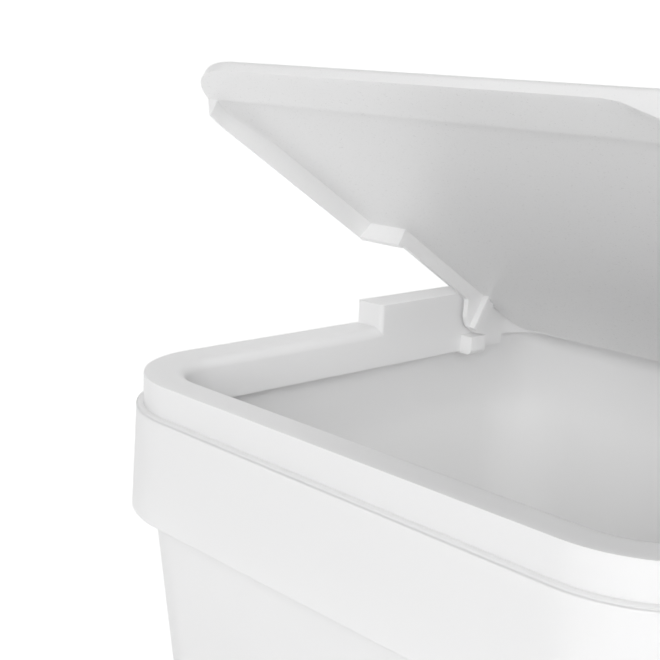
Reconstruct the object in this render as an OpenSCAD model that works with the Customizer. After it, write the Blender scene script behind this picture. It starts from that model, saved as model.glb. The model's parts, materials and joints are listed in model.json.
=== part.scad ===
// Countertop trash can: a tapered bucket, a lid frame that straddles the bucket's rim,
// and a lid that tips open on two pins near its rear.
// X runs across the front, Y from front to back and Z up. The origin is on the table,
// under the middle of the can.

/* [Bucket] */
// Height of the rim flat above the table
rim_z = 250; // [200:1:320]
// Wall thickness of the bucket
bucket_wall = 2; // [1.6:0.1:3]
// Thickness of the bucket's floor
bucket_floor = 2.5; // [2:0.1:4]
// Radius of the bucket's upright corners
bucket_corner_r = 26; // [22:0.5:28]
// Radius of the bucket's corners at its rim, inside the frame
bucket_rim_r = 28.4; // [28:0.1:29.4]
// Taper of each wall below the frame, in degrees
bucket_draft = 4.85; // [2:0.05:6]
// Taper of each wall inside the frame, in degrees
bucket_neck_draft = 1.3; // [0.5:0.1:2]
// Height of the hollow under the bucket's floor
foot_recess = 1.2; // [0.6:0.1:2]
// Width of the ring that the bucket stands on
foot_ring_w = 7; // [5:0.5:12]

/* [Lid frame] */
// Width of the frame over its upper step
frame_w = 200; // [180:1:240]
// Depth of the frame over its upper step
frame_d = 200; // [180:1:240]
// Radius of the upper step's upright corners
frame_corner_r = 31.5; // [28:0.5:36]
// Wall thickness of the frame
frame_wall = 2; // [1.6:0.1:2.4]
// Width of the rim, from the step to the inner wall
rim_w = 12.4; // [11:0.1:14]
// Radius of the rim's inner edge
rim_inner_r = 3.5; // [2:0.1:5]
// Depth of the inner wall below the rim flat
inner_wall_h = 13.9; // [12:0.1:18]
// Height of the upper step
step_h = 9; // [8:0.1:12]
// Width of the ledge under the step
ledge_w = 2.1; // [1.5:0.1:3]
// Distance from the rim flat to the band's lower edge
band_bottom = 41.2; // [34:0.1:50]
// Outward lean of the band, in degrees
band_flare = 2; // [1:0.1:4]
// Height of the raised wall round the rear
wall_h = 8; // [7:0.1:10]
// Distance from the frame's front to the raised wall
wall_start = 105.3; // [100:0.1:110]
// Thickness of the raised wall at the back
back_wall_w = 16; // [12.4:0.1:18]
// Radius of the opening's rear corners
opening_rear_r = 13; // [10:0.5:18]

/* [Lid] */
// Angle by which the lid stands open
lid_open = 32.5; // [0:0.5:90]
// Thickness of the lid's plate
plate_t = 1.9; // [1.6:0.1:2.4]
// Thickness of the skirt's lower edge
skirt_t = 0.9; // [0.8:0.1:1.2]
// Thickness of the rear part's skirt
rear_skirt_t = 2.1; // [1.6:0.1:2.6]
// Overhang of the skirt's lower edge beyond the frame's step
skirt_out = 2.9; // [2.4:0.1:3.4]
// Overhang of the lid's edge beyond the frame's step
edge_out = 4.3; // [3.6:0.1:5]
// Height of the edge's lower corner above the rim flat
edge_under_z = 4.1; // [3.5:0.1:5]
// Inward slope of the skirt's inner face, from its lower edge up to the plate
skirt_slope = 2; // [1:0.1:3]
// Radius of the plate's underside at the front corners
under_corner_r = 46; // [38:0.5:50]
// Width of the flat border under the lid's front edge
border_w = 17.6; // [14:0.1:19]
// Radius of the lid's front corners, measured where they pass over the frame's step
lid_corner_r = 24.8; // [22:0.1:31.5]
// Radius of the lid's upper edge
edge_r = 1.7; // [1:0.1:2.5]
// Distance from the frame's front to the lid's side shoulders
shoulder_y = 98.6; // [94:0.1:100]
// Thickness of the shoulders
shoulder_t = 2.6; // [2:0.1:3.5]
// Distance from the frame's side to the lid's narrow rear part
rear_in = 14.7; // [14:0.1:17]
// Distance from the frame's front to the lid's rear edge
rear_y = 176.3; // [165:0.1:178]
// Radius of the rear part's corners
rear_corner_r = 4.5; // [3:0.1:8]
// Depth of the finger lip at the front right corner
lip_h = 5.4; // [4:0.1:6]
// Distance from the can's middle to the start of the finger lip
lip_start = 52; // [48:0.5:56]
// Length over which the finger lip comes down
lip_ramp = 25; // [18:0.5:30]

/* [Hinge] */
// Distance from the frame's front to the pivot pins
pivot_y = 152.4; // [148:0.1:156]
// Depth of the pivot pins below the rim flat
pivot_drop = 4.1; // [3.8:0.1:5]
// Radius of the pivot pins
pin_r = 1.8; // [1.6:0.1:2]
// Radial clearance of the pins in the frame
pin_clear = 0.06; // [0.03:0.01:0.1]
// Radius of the ears' lower ends
ear_r = 2.9; // [2.6:0.1:3.2]
// Reach of the ears in front of the pins, along the skirt
ear_len = 11.6; // [10:0.1:13]
// Width of the blocks under the ears
rest_w = 8; // [6:0.5:10]
// Reach of the blocks out of the frame's inner wall
rest_reach = 5.4; // [5:0.1:6]

/* [Hidden] */

curve_fn = 96;
small_fn = 48;
loft_fn = 32;
overlap = 0.01;
slice = 0.01;

// Plan sizes, all measured from the can's middle
half_w = frame_w / 2;
half_d = frame_d / 2;
wall_start_y = wall_start - half_d;
pivot_yy = pivot_y - half_d;
pivot_z = rim_z - pivot_drop;

// Bucket
rim_gap = 0.3;
bucket_top = rim_z - frame_wall - rim_gap;
neck_in = 3.1;
bead_in = 2.5;
bead_h = 2;
neck_above_band = 1.2;
neck_z = rim_z - band_bottom + neck_above_band;
neck_bottom_in = neck_in + (bucket_top - neck_z) * tan(bucket_neck_draft);
base_in = neck_bottom_in + neck_z * tan(bucket_draft);
base_round = 3;
base_ease = 0.3 * base_round;

// Lid frame
inner_w = frame_w - 2 * rim_w;
inner_front = -half_d + rim_w;
inner_back = half_d - back_wall_w;
inner_r = frame_corner_r - rim_w;
band_out = ledge_w + (band_bottom - step_h) * tan(band_flare);
back_inner_rise = 3.6;
back_inner_h = inner_wall_h - back_inner_rise;
wall_end_r = 1.6;
wall_zone_y = wall_start_y + wall_end_r;
ledge_r = 0.8;
rib_t = 1.6;
rib_in = 2.2;
rib_h = 25;
rib_spread = 45;
rest_drop = 7.8;
rest_h = 6.8;
rest_round = 2.2;
rest_ahead = 0.9;

// Lid, closed, with heights above the rim flat
lid_top = wall_h;
plate_under = lid_top - plate_t;
skirt_under = 0.1;
fill_in = 8;
hollow_fn = 64;
rear_skirt_under = 1.1;
shoulder_yy = shoulder_y - half_d;
shoulder_r = 3;
rear_half = half_w - rear_in;
rear_edge = rear_y - half_d;
border_end = -half_d - edge_out + border_w;
skirt_start = 2.5;
ear_front = pivot_yy - ear_len;
ear_low = -pivot_drop - ear_r;
ear_knee_in = 3.4;
ear_knee_up = 2.2;
web_t = 1.8;
web_w = 2.3;
web_front = pivot_yy - 4.8;
pin_len = 4.9;
lip_t = 1.6;
lip_low = edge_under_z - lip_h;
lip_ease_run = 0.2 * lip_ramp;
lip_ease_h = 0.1 * lip_h;

// Rectangle with round corners, from its middle
module round_rect(w, d, r, fn = curve_fn) {
    square([w - 2 * r, d], center = true);
    square([w, d - 2 * r], center = true);
    for (x = [-1, 1], y = [-1, 1])
        translate([x * (w / 2 - r), y * (d / 2 - r)]) circle(r, $fn = fn);
}

// Thin slice of the bucket, set in from the frame's step on every side
module bucket_slice(inset, r, z) {
    translate([0, 0, z])
        linear_extrude(slice) round_rect(frame_w - 2 * inset, frame_d - 2 * inset, r, loft_fn);
}

// The next three modules carry a section along the frame's outline. In the section, x is the
// distance out of the step's face and y the height.

// Along both sides, from one depth to another
module along_sides(y_from, y_to) {
    for (m = [0, 1])
        mirror([m, 0, 0]) translate([half_w, y_to, 0]) rotate([90, 0, 0])
            linear_extrude(y_to - y_from) children();
}

// Across the front, or across the back
module across(at_back = false, r = frame_corner_r) {
    run = frame_w - 2 * r;
    rotate([0, 0, at_back ? 90 : -90]) translate([half_d, run / 2, 0]) rotate([90, 0, 0])
        linear_extrude(run) children();
}

// Round both corners of the front, or of the back
module round_corners(at_back = false, r = frame_corner_r) {
    for (m = [0, 1])
        mirror([m, 0, 0]) mirror([0, at_back ? 0 : 1, 0]) translate([half_w - r, half_d - r, 0])
            rotate_extrude(angle = 90, $fn = curve_fn) translate([r, 0]) children();
}

// The corner left over outside a quarter circle, for rounding an edge of a section
module edge_waste(r) {
    difference() {
        square(r + overlap);
        circle(r, $fn = small_fn);
    }
}

// Bucket ------------------------------------------------------------------

module bucket_outside() {
    hull() {
        bucket_slice(base_in + base_round, bucket_corner_r - base_round, 0);
        bucket_slice(base_in + base_ease, bucket_corner_r - base_ease, base_ease);
        bucket_slice(base_in, bucket_corner_r, base_round);
        bucket_slice(neck_bottom_in, bucket_corner_r, neck_z);
    }
    hull() {
        bucket_slice(neck_bottom_in, bucket_corner_r, neck_z);
        bucket_slice(neck_in, bucket_rim_r, bucket_top - slice);
    }
}

module bucket_inside() {
    inner_corner_r = bucket_corner_r - bucket_wall;
    inner_round = 4;
    hull() {
        bucket_slice(base_in + bucket_wall + inner_round, inner_corner_r - inner_round, bucket_floor);
        bucket_slice(base_in + bucket_wall, inner_corner_r, bucket_floor + inner_round);
        bucket_slice(neck_bottom_in + bucket_wall, inner_corner_r, neck_z);
    }
    hull() {
        bucket_slice(neck_bottom_in + bucket_wall, inner_corner_r, neck_z);
        bucket_slice(neck_in + bucket_wall, bucket_rim_r - bucket_wall, bucket_top + 1);
    }
}

module bucket() {
    color("white") difference() {
        union() {
            bucket_outside();
            bead_r = bucket_rim_r + neck_in - bead_in;
            translate([0, 0, bucket_top - bead_h]) linear_extrude(bead_h)
                round_rect(frame_w - 2 * bead_in, frame_d - 2 * bead_in, bead_r);
        }
        bucket_inside();
        foot_in = base_in + base_round + foot_ring_w;
        translate([0, 0, -overlap]) linear_extrude(foot_recess + overlap)
            round_rect(frame_w - 2 * foot_in, frame_d - 2 * foot_in, bucket_corner_r - base_round - foot_ring_w);
    }
}

// Lid frame ---------------------------------------------------------------

// Ledge and flared band of the frame's outer side
module band_section() {
    difference() {
        union() {
            polygon([
                [-frame_wall / 2, -step_h],
                [ledge_w, -step_h],
                [band_out, -band_bottom + frame_wall / 2],
                [band_out - frame_wall, -band_bottom + frame_wall / 2],
                [ledge_w - frame_wall, -step_h - frame_wall],
                [-frame_wall, -step_h - frame_wall],
                [-frame_wall, -step_h - frame_wall / 2],
            ]);
            translate([band_out - frame_wall / 2, -band_bottom + frame_wall / 2])
                circle(frame_wall / 2, $fn = small_fn);
        }
        translate([ledge_w - ledge_r, -step_h - ledge_r]) edge_waste(ledge_r);
    }
}

// Whole section of the frame where its rim is low
module low_section() {
    band_section();
    translate([-frame_wall, -step_h - frame_wall / 2]) square([frame_wall, step_h + frame_wall / 2]);
    difference() {
        polygon([
            [-frame_wall / 2, 0],
            [-rim_w, 0],
            [-rim_w, -inner_wall_h],
            [-rim_w + frame_wall, -inner_wall_h],
            [-rim_w + frame_wall, -rim_inner_r],
            [-rim_w + rim_inner_r, -frame_wall],
            [-frame_wall / 2, -frame_wall],
        ]);
        translate([-rim_w + rim_inner_r, -rim_inner_r]) mirror([1, 0]) edge_waste(rim_inner_r);
    }
}

// Plan of the opening inside the frame, grown all round by a distance
module opening_plan(grow = 0) {
    front_r = inner_r + grow;
    rear_r = opening_rear_r + grow;
    half = inner_w / 2 + grow;
    front = inner_front - grow;
    back = inner_back + grow;
    translate([-half, front + front_r]) square([2 * half, back - rear_r - front - front_r]);
    translate([-half + front_r, front]) square([2 * (half - front_r), front_r + overlap]);
    translate([-half + rear_r, back - rear_r - overlap]) square([2 * (half - rear_r), rear_r + overlap]);
    for (m = [0, 1])
        mirror([m, 0]) {
            translate([half - front_r, front + front_r]) circle(front_r, $fn = curve_fn);
            translate([half - rear_r, back - rear_r]) circle(rear_r, $fn = curve_fn);
        }
}

// Plan of the frame's top behind a line across it, set in from both faces by a distance
module rear_plan(y_from, inset = 0) {
    difference() {
        round_rect(frame_w - 2 * inset, frame_d - 2 * inset, frame_corner_r - inset);
        opening_plan(inset);
        translate([-frame_w, -frame_d]) square([2 * frame_w, frame_d + y_from]);
    }
}

// Rear of the frame's top, where the wall stands above the rim flat
module rear_zone() {
    under = rim_z - inner_wall_h;
    difference() {
        translate([0, 0, under]) linear_extrude(inner_wall_h + wall_h) rear_plan(wall_zone_y);
        // Hollow that takes in the bucket's rim
        translate([0, 0, under - 1]) linear_extrude(inner_wall_h - frame_wall + 1)
            rear_plan(wall_zone_y - 1, frame_wall);
        // Hollow of the raised wall
        translate([0, 0, rim_z - frame_wall - overlap]) linear_extrude(wall_h + overlap)
            rear_plan(wall_start_y + frame_wall, frame_wall);
        // Step's lower end
        translate([0, 0, under - 1]) linear_extrude(inner_wall_h - step_h - frame_wall / 2 + 1)
            difference() {
                square([2 * frame_w, 2 * frame_d], center = true);
                round_rect(frame_w - 2 * frame_wall, frame_d - 2 * frame_wall, frame_corner_r - frame_wall);
            }
        // Shallower inner wall along the back
        translate([-half_w + frame_wall, inner_back - opening_rear_r, under - 1])
            cube([frame_w - 2 * frame_wall, half_d - inner_back + opening_rear_r, inner_wall_h - back_inner_h + 1]);
    }
}

// Front ends of the raised wall, with round upright corners. They fill in the rim's round inner
// edge, and stay above the bucket's rim.
module wall_ends() {
    root = rim_inner_r;
    for (m = [0, 1])
        mirror([m, 0, 0]) translate([half_w - rim_w, wall_start_y, rim_z - root]) difference() {
            linear_extrude(wall_h + root) {
                translate([wall_end_r, 0]) square([rim_w - 2 * wall_end_r, wall_end_r]);
                intersection() {
                    square([rim_w, wall_end_r]);
                    for (x = [wall_end_r, rim_w - wall_end_r])
                        translate([x, wall_end_r]) circle(wall_end_r, $fn = small_fn);
                }
            }
            translate([rim_inner_r, -1, -1]) cube([rim_w, wall_end_r + 2, root - frame_wall + 1]);
        }
}

// Block on the frame's inner wall, close under the end of an ear, rounded along its lower edge
module ear_rest() {
    translate([half_w - rim_w, pivot_yy - rest_ahead + rest_w / 2, rim_z - rest_drop]) rotate([90, 0, 0])
        linear_extrude(rest_w) {
            translate([-rest_reach, -rest_h + rest_round]) square([rest_reach + frame_wall / 2, rest_h - rest_round]);
            translate([-rest_reach + rest_round, -rest_h])
                square([rest_reach - rest_round + frame_wall / 2, rest_round + overlap]);
            translate([-rest_reach + rest_round, -rest_h + rest_round]) circle(rest_round, $fn = small_fn);
        }
}

// Upright ribs on the band's inner face that centre the frame on the bucket
module centring_ribs() {
    for (k = [0 : 3], side = [-1, 1]) {
        face = k % 2 == 0 ? half_w : half_d;
        rotate([0, 0, 90 * k])
            translate([face - rib_in, side * rib_spread - rib_t / 2, rim_z - step_h - rib_h - frame_wall / 2])
                cube([rib_in + ledge_w - frame_wall / 2, rib_t, rib_h]);
    }
}

module lid_frame() {
    color("white") {
        difference() {
            union() {
                translate([0, 0, rim_z]) {
                    across() low_section();
                    round_corners() low_section();
                    along_sides(-half_d + frame_corner_r, wall_zone_y) low_section();
                    along_sides(wall_zone_y, half_d - frame_corner_r) band_section();
                    round_corners(true) band_section();
                    across(true) band_section();
                }
                rear_zone();
                wall_ends();
            }
            // Bearing holes for the lid's pins
            for (x = [-1, 1])
                translate([x * (half_w - rim_w + frame_wall / 2), pivot_yy, pivot_z]) rotate([0, 90, 0])
                    cylinder(r = pin_r + pin_clear, h = 2 * frame_wall, center = true, $fn = small_fn);
        }
        ear_rest();
        mirror([1, 0, 0]) ear_rest();
        centring_ribs();
    }
}

// Lid, closed --------------------------------------------------------------

// Overhanging edge and skirt of the lid's front and sides, filled in behind
module lid_edge_section() {
    difference() {
        polygon([
            [-fill_in - 1, skirt_under],
            [skirt_out, skirt_under],
            [edge_out, edge_under_z],
            [edge_out, lid_top],
            [-fill_in - 1, lid_top],
        ]);
        translate([edge_out - edge_r, lid_top - edge_r]) edge_waste(edge_r);
    }
}

// Part in front of a line across the lid of a round rectangle that overhangs the frame's step
module front_plan(overhang, r, y_to, fn) {
    difference() {
        round_rect(frame_w + 2 * overhang, frame_d + 2 * overhang, r, fn);
        translate([-frame_w, y_to]) square([2 * frame_w, 2 * frame_d]);
    }
}

// Shallow hollow behind the front border, with rounder corners at the plate than at the skirt's edge
module lid_hollow() {
    lower = skirt_out - skirt_t;
    upper = lower - skirt_slope;
    middle = lower - skirt_slope * (edge_under_z - skirt_under) / (plate_under - skirt_under);
    y_to = shoulder_yy - shoulder_t;
    difference() {
        hull() {
            translate([0, 0, skirt_under - slice]) linear_extrude(slice)
                front_plan(lower, lid_corner_r + lower, y_to, hollow_fn);
            translate([0, 0, edge_under_z]) linear_extrude(slice)
                front_plan(middle, lid_corner_r + lower, y_to, hollow_fn);
            translate([0, 0, plate_under - slice]) linear_extrude(slice)
                front_plan(upper, under_corner_r, y_to, hollow_fn);
        }
        translate([-frame_w, border_end - frame_d, edge_under_z]) cube([2 * frame_w, frame_d, lid_top]);
    }
    // Way through between the shoulders to the rear part
    half = rear_half - rear_skirt_t;
    translate([-half, y_to - 1, skirt_under - 1]) cube([2 * half, shoulder_t + 2, plate_under - skirt_under + 1]);
}

// Room under the front border, where the skirt starts round both corners with a slope
module border_room() {
    translate([-frame_w, 0, 0]) rotate([90, 0, 90]) linear_extrude(2 * frame_w) polygon([
        [-frame_d, skirt_under - 1],
        [-frame_d, edge_under_z],
        [border_end, edge_under_z],
        [border_end + skirt_start, skirt_under],
        [border_end + skirt_start, skirt_under - 1],
    ]);
}

// Front part of the lid: edge round the front and both sides as far as the shoulders
module lid_front() {
    difference() {
        union() {
            across(r = lid_corner_r) lid_edge_section();
            round_corners(r = lid_corner_r) lid_edge_section();
            along_sides(-half_d + lid_corner_r, shoulder_yy) lid_edge_section();
            translate([0, 0, skirt_under]) linear_extrude(lid_top - skirt_under)
                front_plan(-fill_in, lid_corner_r - fill_in, shoulder_yy, curve_fn);
        }
        lid_hollow();
        border_room();
    }
}

// Finger lip that hangs from the edge round the front right corner
module finger_lip() {
    span = half_w + edge_out + overlap;
    intersection() {
        union() {
            across(r = lid_corner_r) lip_section();
            round_corners(r = lid_corner_r) lip_section();
            along_sides(-half_d + lid_corner_r, -lip_start) lip_section();
        }
        // Each run of the lip comes down along a slope
        translate([0, overlap, 0]) rotate([90, 0, 0]) linear_extrude(span) lip_slope(span);
        rotate([0, 0, -90]) mirror([0, 1, 0]) translate([0, overlap, 0]) rotate([90, 0, 0])
            linear_extrude(span) lip_slope(span);
    }
}

module lip_section() {
    translate([edge_out - lip_t, lip_low]) square([lip_t, lip_h + 1]);
}

// Region above the lip's sloping start
module lip_slope(span) {
    polygon([
        [lip_start, edge_under_z],
        [lip_start + lip_ease_run, edge_under_z - lip_ease_h],
        [lip_start + lip_ramp - lip_ease_run, lip_low + lip_ease_h],
        [lip_start + lip_ramp, lip_low],
        [span, lip_low],
        [span, edge_under_z + 1],
        [lip_start, edge_under_z + 1],
    ]);
}

// Narrow rear part of the lid, which dips between the raised walls
module lid_rear() {
    depth = rear_edge - shoulder_yy + shoulder_r;
    translate([0, rear_edge - depth / 2, plate_under])
        linear_extrude(plate_t) round_rect(2 * rear_half, depth, rear_corner_r);
    for (x = [0, 1])
        mirror([x, 0, 0]) {
            translate([rear_half - rear_skirt_t, shoulder_yy - shoulder_t, rear_skirt_under])
                cube([rear_skirt_t, pivot_yy + ear_r - shoulder_yy + shoulder_t, plate_under - rear_skirt_under + overlap]);
            ear();
        }
}

// Ear that hangs from the rear skirt round the pin, with a web down its inner face. Its front edge
// slants back to meet the foot of the web.
module ear() {
    translate([rear_half, 0, 0]) rotate([90, 0, 90]) mirror([0, 0, 1]) linear_extrude(rear_skirt_t) {
        polygon([
            [ear_front, rear_skirt_under + overlap],
            [ear_front + ear_knee_in, ear_low + ear_knee_up],
            [web_front, ear_low],
            [pivot_yy, ear_low],
            [pivot_yy, -pivot_drop],
            [pivot_yy + ear_r, -pivot_drop],
            [pivot_yy + ear_r, rear_skirt_under + overlap],
        ]);
        translate([pivot_yy, -pivot_drop]) circle(ear_r, $fn = small_fn);
    }
    translate([rear_half - rear_skirt_t - web_w, web_front, ear_low])
        cube([web_w + overlap, web_t, plate_under + overlap - ear_low]);
    translate([rear_half - overlap, pivot_yy, -pivot_drop]) rotate([0, 90, 0])
        cylinder(r = pin_r, h = pin_len, $fn = small_fn);
}

module swing_lid() {
    color("white") translate([0, pivot_yy, pivot_z]) rotate([-lid_open, 0, 0])
        translate([0, -pivot_yy, pivot_drop]) {
            lid_front();
            finger_lip();
            lid_rear();
        }
}

bucket();
lid_frame();
swing_lid();
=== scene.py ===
import json
import math

import bmesh
import bpy
from mathutils import Matrix, Vector


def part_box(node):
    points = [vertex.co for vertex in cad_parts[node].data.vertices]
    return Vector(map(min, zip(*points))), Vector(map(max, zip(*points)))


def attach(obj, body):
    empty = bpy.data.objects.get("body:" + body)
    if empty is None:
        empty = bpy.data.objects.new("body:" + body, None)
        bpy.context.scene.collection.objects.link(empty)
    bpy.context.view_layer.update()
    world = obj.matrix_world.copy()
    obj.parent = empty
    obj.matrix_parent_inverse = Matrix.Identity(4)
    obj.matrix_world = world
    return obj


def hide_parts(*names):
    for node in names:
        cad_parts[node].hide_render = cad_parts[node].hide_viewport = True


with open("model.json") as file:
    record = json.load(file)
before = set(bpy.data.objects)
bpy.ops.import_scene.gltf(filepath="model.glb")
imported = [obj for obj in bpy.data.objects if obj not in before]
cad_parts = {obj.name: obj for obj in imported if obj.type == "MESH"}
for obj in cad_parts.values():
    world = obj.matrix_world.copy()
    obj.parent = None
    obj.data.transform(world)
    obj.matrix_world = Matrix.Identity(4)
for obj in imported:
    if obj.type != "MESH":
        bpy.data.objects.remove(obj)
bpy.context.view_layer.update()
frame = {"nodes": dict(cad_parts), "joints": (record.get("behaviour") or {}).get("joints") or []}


# Rounding of the moulding edges, in metres
FRAME_EDGE = 0.0003
LID_EDGE = 0.0003
# Closer together than this, two corners of a CAD node count as one, in metres
ONE_CORNER = 0.00005
# How near a cutting plane a corner counts as lying on it, and the shortest edge kept, in metres
ON_PLANE = 0.000001

# Bucket, in metres. The frame hides its rim, and the photograph cuts off its lower part.
BUCKET_WALL = 0.002
BUCKET_FLOOR = 0.0025
BODY_CORNER = 0.026
RIM_CORNER = 0.0284
BASE_ROUND = 0.003
INNER_ROUND = 0.004
FOOT_W = 0.007
FOOT_RECESS = 0.0012
NECK_Z = 0.210
NECK_TAPER = 1.3
BODY_TAPER = 4.85
BEAD_OUT = 0.0006
BEAD_H = 0.002
BEAD_EDGE = 0.0004
CORNER_STEPS = 16

# Between faces, in degrees: flatter than the first they join into one, sharper than the second
# their edge is rounded, and sharper than the third it stays crisp in the shading
FLAT_BELOW = 0.4
ROUND_ABOVE = 24
CRISP_ABOVE = 40
EDGE_SEGMENTS = 3

# Camera, fitted to the photograph: place in metres and angles in degrees
CAMERA_PLACE = Vector((0.2101, -0.2991, 0.3466))
CAMERA_YAW = 46.75
CAMERA_PITCH = 12.96
CAMERA_ROLL = 2.29
CAMERA_LENS = 68.65
# Display gamma, set along with the lights to match the photograph's greys
CAMERA_GAMMA = 1.5

# Light: watts of each softbox, and the strength of the air's and the paper's own light, all
# solved for together to match the photograph
OVERHEAD_POWER = 1.5
LEFT_POWER = 0.6
FRONT_POWER = 11
CORNER_POWER = 18
AIR_STRENGTH = 0.02
PAPER_GLOW = 0.75
# How far behind the can, in metres, the paper reaches its full glow
GLOW_REACH = 0.3
SWEEP_HALF = 2.5
SWEEP_RADIUS = 1

# White plastic: its two tones, and how much light it lets through and how far, in metres
LIGHT_TONE = (0.90, 0.90, 0.90, 1)
DARK_TONE = (0.88, 0.88, 0.882, 1)
PLASTIC_IOR = 1.49
LET_THROUGH = 0.5
LET_THROUGH_REACH = 0.005


# Pieces --------------------------------------------------------------------


def shaded_piece(name, mesh):
    """An object for a mesh of smooth faces, with even shading between its crisp edges."""
    piece = bpy.data.objects.new(name, mesh)
    bpy.context.scene.collection.objects.link(piece)
    mesh.set_sharp_from_angle(angle=math.radians(CRISP_ABOVE))
    weigh = piece.modifiers.new("Even shading", "WEIGHTED_NORMAL")
    weigh.mode = "FACE_AREA"
    weigh.weight = 60
    weigh.keep_sharp = True
    return piece


def moulding_copy(node, name, body, edge, cuts):
    """A copy of a CAD node with its triangles joined, its flat faces whole and its edges rounded.

    A flat face with a hole in it can't be one face, so planes across Y at the given places,
    and one across X through the middle, cut it.
    """
    mesh = frame["nodes"][node].data.copy()
    mesh.name = name
    mesh.materials.clear()
    bm = bmesh.new()
    bm.from_mesh(mesh)
    bmesh.ops.remove_doubles(bm, verts=bm.verts, dist=ONE_CORNER)
    bmesh.ops.dissolve_degenerate(bm, edges=bm.edges, dist=ON_PLANE)
    planes = [((0, 0, 0), (1, 0, 0))] + [((0, y, 0), (0, 1, 0)) for y in cuts]
    for place, across in planes:
        cut = bmesh.ops.bisect_plane(
            bm,
            geom=bm.verts[:] + bm.edges[:] + bm.faces[:],
            dist=ON_PLANE,
            plane_co=place,
            plane_no=across,
        )
        for part in cut["geom_cut"]:
            if isinstance(part, bmesh.types.BMEdge):
                part.seam = True
    bmesh.ops.dissolve_limit(
        bm,
        angle_limit=math.radians(FLAT_BELOW),
        verts=bm.verts,
        edges=bm.edges,
        delimit={"SEAM"},
    )
    crisp = [
        e
        for e in bm.edges
        if e.is_manifold and e.calc_face_angle(0) > math.radians(ROUND_ABOVE)
    ]
    bmesh.ops.bevel(
        bm,
        geom=crisp,
        offset=edge,
        offset_type="OFFSET",
        affect="EDGES",
        segments=EDGE_SEGMENTS,
        profile=0.5,
        clamp_overlap=True,
        material=-1,
    )
    for face in bm.faces:
        face.smooth = True
    bm.to_mesh(mesh)
    bm.free()
    piece = shaded_piece(name, mesh)
    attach(piece, body)
    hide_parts(node)
    return piece


PIVOT_Y = next(j for j in frame["joints"] if j["name"] == "lid_swing")["pos_m"][1]
frame_moulding = moulding_copy(
    "lid_frame", "frame_moulding", "frame", FRAME_EDGE, (0, PIVOT_Y)
)
lid_moulding = moulding_copy(
    "swing_lid", "lid_moulding", "lid", LID_EDGE, (PIVOT_Y,)
)


def quarter(half, corner, z, radius, start, end, steps=5):
    """Rings along an arc of the bucket's section, about a centre, between two angles in degrees."""
    turns = [math.radians(start + (end - start) * k / steps) for k in range(steps + 1)]
    return [
        (half + radius * math.cos(t), corner + radius * math.cos(t), z + radius * math.sin(t))
        for t in turns
    ]


def bucket_rings():
    """Half width, corner radius and height of each ring, from the underside out, up, in and down."""
    low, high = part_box("bucket")
    bead_half, top = high[0], high[2]
    rim_half = bead_half - BEAD_OUT
    neck_half = rim_half - (top - NECK_Z) * math.tan(math.radians(NECK_TAPER))
    base_half = neck_half - NECK_Z * math.tan(math.radians(BODY_TAPER))
    foot_half = base_half - BASE_ROUND
    recess_half = foot_half - FOOT_W
    recess_corner = BODY_CORNER - BASE_ROUND - FOOT_W
    rings = [(recess_half, recess_corner, FOOT_RECESS), (recess_half, recess_corner, 0)]
    rings += quarter(foot_half, BODY_CORNER - BASE_ROUND, BASE_ROUND, BASE_ROUND, -90, 0)
    rings.append((neck_half, BODY_CORNER, NECK_Z))
    rings.append((rim_half, RIM_CORNER, top - BEAD_H))
    rings.append((bead_half, RIM_CORNER + BEAD_OUT, top - BEAD_H))
    rings += quarter(
        bead_half - BEAD_EDGE,
        RIM_CORNER + BEAD_OUT - BEAD_EDGE,
        top - BEAD_EDGE,
        BEAD_EDGE,
        0,
        90,
    )
    inner_rim_corner = RIM_CORNER - BUCKET_WALL + BEAD_EDGE
    rings += quarter(
        rim_half - BUCKET_WALL + BEAD_EDGE, inner_rim_corner, top - BEAD_EDGE, BEAD_EDGE, 90, 180
    )
    inner_corner = BODY_CORNER - BUCKET_WALL
    rings.append((neck_half - BUCKET_WALL, inner_corner, NECK_Z))
    rings += quarter(
        base_half - BUCKET_WALL - INNER_ROUND,
        inner_corner - INNER_ROUND,
        BUCKET_FLOOR + INNER_ROUND,
        INNER_ROUND,
        0,
        -90,
    )
    return rings


def next_ring(bm, edges, now, then):
    """Extrudes a ring of edges to the next one, with each corner scaled and moved by itself."""
    grown = bmesh.ops.extrude_edge_only(bm, edges=edges)["geom"]
    corners = [g for g in grown if isinstance(g, bmesh.types.BMVert)]
    for side in (-1, 1):
        for end in (-1, 1):
            group = [v for v in corners if v.co.x * side > 0 and v.co.y * end > 0]
            here = Vector((side * (now[0] - now[1]), end * (now[0] - now[1]), now[2]))
            there = Vector((side * (then[0] - then[1]), end * (then[0] - then[1]), then[2]))
            size = then[1] / now[1]
            bmesh.ops.scale(bm, vec=(size, size, 1), space=Matrix.Translation(-here), verts=group)
            bmesh.ops.translate(bm, vec=there - here, verts=group)
    return [g for g in grown if isinstance(g, bmesh.types.BMEdge)]


def bucket_shell():
    """The bucket as one closed shell, drawn ring by ring from a rounded square."""
    rings = bucket_rings()
    bm = bmesh.new()
    bmesh.ops.create_grid(bm, x_segments=1, y_segments=1, size=rings[0][0])
    bmesh.ops.translate(bm, vec=(0, 0, rings[0][2]), verts=bm.verts)
    bmesh.ops.bevel(
        bm,
        geom=list(bm.verts),
        offset=rings[0][1],
        offset_type="OFFSET",
        affect="VERTICES",
        segments=CORNER_STEPS,
        profile=0.5,
        material=-1,
    )
    edges = list(bm.edges)
    for now, then in zip(rings, rings[1:]):
        edges = next_ring(bm, edges, now, then)
    bmesh.ops.contextual_create(bm, geom=edges)
    bmesh.ops.recalc_face_normals(bm, faces=bm.faces)
    for face in bm.faces:
        face.smooth = True
    mesh = bpy.data.meshes.new("bucket_moulding")
    bm.to_mesh(mesh)
    bm.free()
    piece = shaded_piece("bucket_moulding", mesh)
    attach(piece, "bucket")
    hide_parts("bucket")
    return piece


bucket_moulding = bucket_shell()


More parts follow.
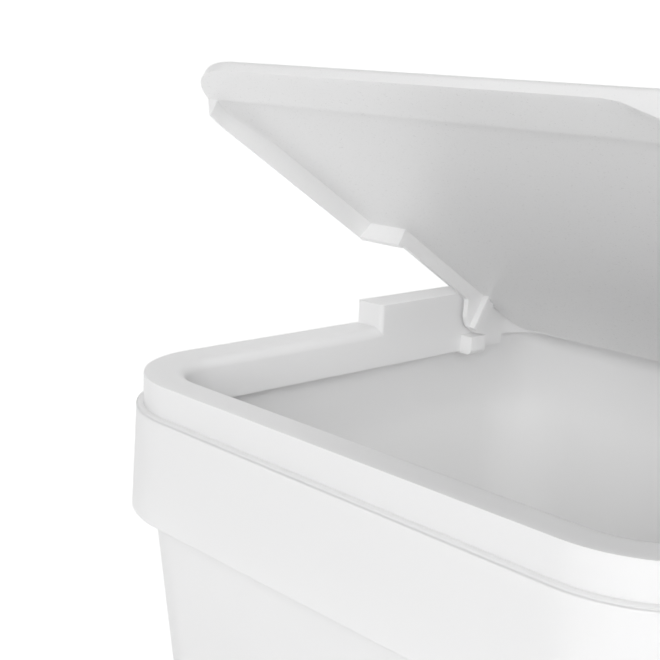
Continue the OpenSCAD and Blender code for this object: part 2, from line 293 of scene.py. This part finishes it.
# Materials -----------------------------------------------------------------


def moulded_finish():
    """Group: the faint unevenness of moulded plastic, as colour, roughness and a bumped normal."""
    group = bpy.data.node_groups.new("Moulded plastic finish", "ShaderNodeTree")
    face = group.interface
    face.new_socket("Position", in_out="INPUT", socket_type="NodeSocketVector")
    face.new_socket("Light tone", in_out="INPUT", socket_type="NodeSocketColor")
    face.new_socket("Dark tone", in_out="INPUT", socket_type="NodeSocketColor")
    for amount in ("Smoothest", "Roughest", "Ripple", "Grain"):
        face.new_socket(amount, in_out="INPUT", socket_type="NodeSocketFloat")
    face.new_socket("Colour", in_out="OUTPUT", socket_type="NodeSocketColor")
    face.new_socket("Roughness", in_out="OUTPUT", socket_type="NodeSocketFloat")
    face.new_socket("Normal", in_out="OUTPUT", socket_type="NodeSocketVector")
    nodes, links = group.nodes, group.links
    come = nodes.new("NodeGroupInput")
    go = nodes.new("NodeGroupOutput")

    flow = nodes.new("ShaderNodeTexNoise")
    flow.inputs["Scale"].default_value = 14
    flow.inputs["Detail"].default_value = 2
    links.new(come.outputs["Position"], flow.inputs["Vector"])

    grain = nodes.new("ShaderNodeTexNoise")
    grain.inputs["Scale"].default_value = 1600
    grain.inputs["Detail"].default_value = 3
    links.new(come.outputs["Position"], grain.inputs["Vector"])

    tone = nodes.new("ShaderNodeMix")
    tone.data_type = "RGBA"
    links.new(flow.outputs["Fac"], tone.inputs["Factor"])
    links.new(come.outputs["Dark tone"], tone.inputs["A"])
    links.new(come.outputs["Light tone"], tone.inputs["B"])
    links.new(tone.outputs["Result"], go.inputs["Colour"])

    sheen = nodes.new("ShaderNodeMapRange")
    links.new(grain.outputs["Fac"], sheen.inputs["Value"])
    links.new(come.outputs["Smoothest"], sheen.inputs["To Min"])
    links.new(come.outputs["Roughest"], sheen.inputs["To Max"])
    links.new(sheen.outputs["Result"], go.inputs["Roughness"])

    ripple = nodes.new("ShaderNodeTexNoise")
    ripple.inputs["Scale"].default_value = 45
    ripple.inputs["Detail"].default_value = 1
    links.new(come.outputs["Position"], ripple.inputs["Vector"])
    swell = nodes.new("ShaderNodeBump")
    swell.inputs["Distance"].default_value = 0.001
    links.new(come.outputs["Ripple"], swell.inputs["Strength"])
    links.new(ripple.outputs["Fac"], swell.inputs["Height"])
    fine = nodes.new("ShaderNodeBump")
    fine.inputs["Distance"].default_value = 0.00005
    links.new(come.outputs["Grain"], fine.inputs["Strength"])
    links.new(grain.outputs["Fac"], fine.inputs["Height"])
    links.new(swell.outputs["Normal"], fine.inputs["Normal"])
    links.new(fine.outputs["Normal"], go.inputs["Normal"])
    return group


FINISH = moulded_finish()


def white_plastic(name, smoothest, roughest, ripple, grain):
    """A satin white moulded plastic, with a little light let through."""
    material = bpy.data.materials.new(name)
    material.use_nodes = True
    nodes, links = material.node_tree.nodes, material.node_tree.links
    shader = nodes["Principled BSDF"]
    place = nodes.new("ShaderNodeTexCoord")
    finish = nodes.new("ShaderNodeGroup")
    finish.node_tree = FINISH
    links.new(place.outputs["Object"], finish.inputs["Position"])
    finish.inputs["Light tone"].default_value = LIGHT_TONE
    finish.inputs["Dark tone"].default_value = DARK_TONE
    finish.inputs["Smoothest"].default_value = smoothest
    finish.inputs["Roughest"].default_value = roughest
    finish.inputs["Ripple"].default_value = ripple
    finish.inputs["Grain"].default_value = grain
    links.new(finish.outputs["Colour"], shader.inputs["Base Color"])
    links.new(finish.outputs["Roughness"], shader.inputs["Roughness"])
    links.new(finish.outputs["Normal"], shader.inputs["Normal"])
    shader.inputs["IOR"].default_value = PLASTIC_IOR
    shader.inputs["Subsurface Weight"].default_value = LET_THROUGH
    shader.inputs["Subsurface Radius"].default_value = (1.0, 1.0, 0.97)
    shader.inputs["Subsurface Scale"].default_value = LET_THROUGH_REACH
    return material


frame_white = white_plastic("Frame white", 0.30, 0.42, 0.10, 0.10)
lid_white = white_plastic("Lid white", 0.24, 0.34, 0.10, 0.08)
bucket_white = white_plastic("Bucket white", 0.34, 0.46, 0.12, 0.10)

for node, piece, white in (
    ("lid_frame", frame_moulding, frame_white),
    ("swing_lid", lid_moulding, lid_white),
    ("bucket", bucket_moulding, bucket_white),
):
    piece.data.materials.append(white)
    for slot in frame["nodes"][node].material_slots:
        slot.material = white


# Studio --------------------------------------------------------------------


def studio_sweep():
    """A pale floor that curves up into a backdrop far behind the can."""
    bm = bmesh.new()
    bmesh.ops.create_grid(bm, x_segments=1, y_segments=1, size=SWEEP_HALF)
    turn = Matrix.Rotation(math.radians(CAMERA_YAW), 4, "Z")
    far = [e for e in bm.edges if all(v.co.y > 0 for v in e.verts)]
    spun = bmesh.ops.spin(
        bm,
        geom=far,
        cent=(0, SWEEP_HALF, SWEEP_RADIUS),
        axis=(1, 0, 0),
        angle=math.radians(90),
        steps=16,
    )
    top = [g for g in spun["geom_last"] if isinstance(g, bmesh.types.BMEdge)]
    risen = bmesh.ops.extrude_edge_only(bm, edges=top)
    bmesh.ops.translate(
        bm,
        vec=(0, 0, 2.5),
        verts=[g for g in risen["geom"] if isinstance(g, bmesh.types.BMVert)],
    )
    bmesh.ops.transform(bm, matrix=turn, verts=bm.verts)
    for face in bm.faces:
        face.smooth = True
    mesh = bpy.data.meshes.new("studio_sweep")
    bm.to_mesh(mesh)
    bm.free()
    sweep = bpy.data.objects.new("studio_sweep", mesh)
    bpy.context.scene.collection.objects.link(sweep)
    paper = bpy.data.materials.new("Sweep paper")
    paper.use_nodes = True
    shader = paper.node_tree.nodes["Principled BSDF"]
    shader.inputs["Base Color"].default_value = (0.93, 0.93, 0.93, 1)
    shader.inputs["Roughness"].default_value = 0.9
    # Only the paper beyond the can glows, along the direction in which the camera looks
    nodes, links = paper.node_tree.nodes, paper.node_tree.links
    place = nodes.new("ShaderNodeTexCoord")
    behind = nodes.new("ShaderNodeVectorMath")
    behind.operation = "DOT_PRODUCT"
    yaw = math.radians(CAMERA_YAW)
    behind.inputs[1].default_value = (-math.sin(yaw), math.cos(yaw), 0)
    links.new(place.outputs["Object"], behind.inputs[0])
    glow = nodes.new("ShaderNodeMapRange")
    glow.inputs["From Min"].default_value = 0
    glow.inputs["From Max"].default_value = GLOW_REACH
    glow.inputs["To Max"].default_value = PAPER_GLOW
    links.new(behind.outputs["Value"], glow.inputs["Value"])
    shader.inputs["Emission Color"].default_value = (1, 1, 1, 1)
    links.new(glow.outputs["Result"], shader.inputs["Emission Strength"])
    mesh.materials.append(paper)


studio_sweep()


def softbox(name, place, aim, width, height, power):
    """A rectangular area light that points at a place."""
    data = bpy.data.lights.new(name, "AREA")
    data.shape = "RECTANGLE"
    data.size = width
    data.size_y = height
    data.energy = power
    lamp = bpy.data.objects.new(name, data)
    lamp.location = place
    lamp.rotation_euler = (Vector(aim) - Vector(place)).to_track_quat("-Z", "Y").to_euler()
    bpy.context.scene.collection.objects.link(lamp)


softbox("Overhead box", (-0.1, 0.1, 1.7), (0, 0, 0.2), 1.6, 1.6, OVERHEAD_POWER)
softbox("Left box", (-1.6, -0.5, 0.6), (0, 0, 0.25), 1.2, 1.2, LEFT_POWER)
softbox("Front box", (0.1, -1.7, 0.95), (0, 0, 0.25), 1.4, 0.9, FRONT_POWER)
softbox("Corner box", (1.25, -1.0, 0.8), (0, 0, 0.25), 1.0, 1.0, CORNER_POWER)

world = bpy.data.worlds.new("Studio air")
world.use_nodes = True
world.node_tree.nodes["Background"].inputs["Color"].default_value = (1, 1, 1, 1)
world.node_tree.nodes["Background"].inputs["Strength"].default_value = AIR_STRENGTH
bpy.context.scene.world = world


# Camera --------------------------------------------------------------------


def photo_camera():
    """The camera at the photograph's viewing angle, with its small roll."""
    yaw, pitch, roll = (math.radians(a) for a in (CAMERA_YAW, CAMERA_PITCH, CAMERA_ROLL))
    ahead = Vector(
        (-math.sin(yaw) * math.cos(pitch), math.cos(yaw) * math.cos(pitch), -math.sin(pitch))
    )
    right = Vector((math.cos(yaw), math.sin(yaw), 0))
    up = right.cross(ahead)
    tilted_right = math.cos(roll) * right + math.sin(roll) * up
    tilted_up = -math.sin(roll) * right + math.cos(roll) * up
    turn = Matrix((tilted_right, tilted_up, -ahead)).transposed()
    data = bpy.data.cameras.new("Photo camera")
    data.sensor_fit = "HORIZONTAL"
    data.sensor_width = 36
    data.lens = CAMERA_LENS
    data.clip_start = 0.01
    data.clip_end = 20
    camera = bpy.data.objects.new("Photo camera", data)
    camera.matrix_world = Matrix.Translation(CAMERA_PLACE) @ turn.to_4x4()
    bpy.context.scene.collection.objects.link(camera)
    return camera


bpy.context.scene.camera = photo_camera()
bpy.context.scene.view_settings.view_transform = "Standard"
bpy.context.scene.view_settings.gamma = CAMERA_GAMMA

bpy.context.view_layer.update()
